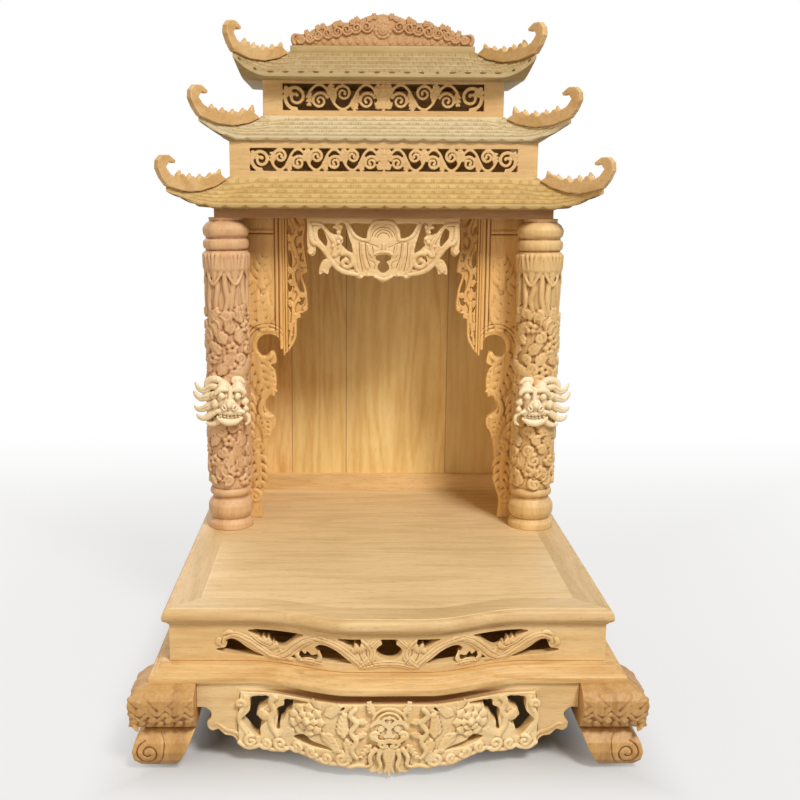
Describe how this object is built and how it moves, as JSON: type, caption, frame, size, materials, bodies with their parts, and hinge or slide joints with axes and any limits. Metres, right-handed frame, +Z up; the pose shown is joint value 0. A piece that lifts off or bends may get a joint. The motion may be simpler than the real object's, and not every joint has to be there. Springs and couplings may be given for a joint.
{
  "type": "wealth god altar",
  "caption": "Floor-standing carved wooden altar: serpentine table on scroll legs, open shrine with two columns, three-tier roof with upswept corners.",
  "frame": {"origin": "on the floor, under the middle of the overall box", "axes": "+Z up, the open front faces -Y, +X to the right seen from the front"},
  "size_m": [0.696, 0.68, 1.058],
  "materials": {
    "golden_wood": "bare carved wood, sanded, unvarnished",
    "knee_wood": "bare carved wood, sanded, unvarnished",
    "top_wood": "bare carved wood, sanded, unvarnished",
    "tile_wood": "bare carved wood, sanded, unvarnished",
    "cream_wood": "bare carved wood, sanded, unvarnished",
    "pale_wood": "bare carved wood, sanded, unvarnished",
    "pinkish_wood": "bare carved wood, sanded, unvarnished"
  },
  "bodies": {
    "root": {"leg_front_left": "knee_wood", "leg_front_right": "knee_wood", "leg_back_left": "knee_wood", "leg_back_right": "knee_wood", "apron_front": "pale_wood", "apron_left": "golden_wood", "apron_right": "golden_wood", "apron_back": "golden_wood", "lower_frame": "golden_wood", "frieze_front": "golden_wood", "frieze_left": "golden_wood", "frieze_right": "golden_wood", "frieze_back": "golden_wood", "table_top": "top_wood", "column_left": "pinkish_wood", "column_right": "golden_wood", "dragon_head_left": "cream_wood", "dragon_head_right": "cream_wood", "back_panel": "golden_wood", "back_rail": "golden_wood", "side_panel_left": "golden_wood", "side_panel_right": "golden_wood", "wing_left": "golden_wood", "wing_right": "golden_wood", "drop_left": "golden_wood", "drop_right": "golden_wood", "valance": "pale_wood", "ceiling": "golden_wood", "roof_lower": "tile_wood", "storey_lower_front": "golden_wood", "storey_lower_left": "golden_wood", "storey_lower_right": "golden_wood", "storey_lower_back": "golden_wood", "roof_middle": "tile_wood", "storey_upper_front": "golden_wood", "storey_upper_left": "golden_wood", "storey_upper_right": "golden_wood", "storey_upper_back": "golden_wood", "roof_top": "tile_wood", "ridge_crest": "pinkish_wood", "crest_lower_left": "golden_wood", "crest_lower_right": "golden_wood", "crest_middle_left": "golden_wood", "crest_middle_right": "golden_wood", "crest_top_left": "golden_wood", "crest_top_right": "golden_wood"}
  },
  "joints": []
}
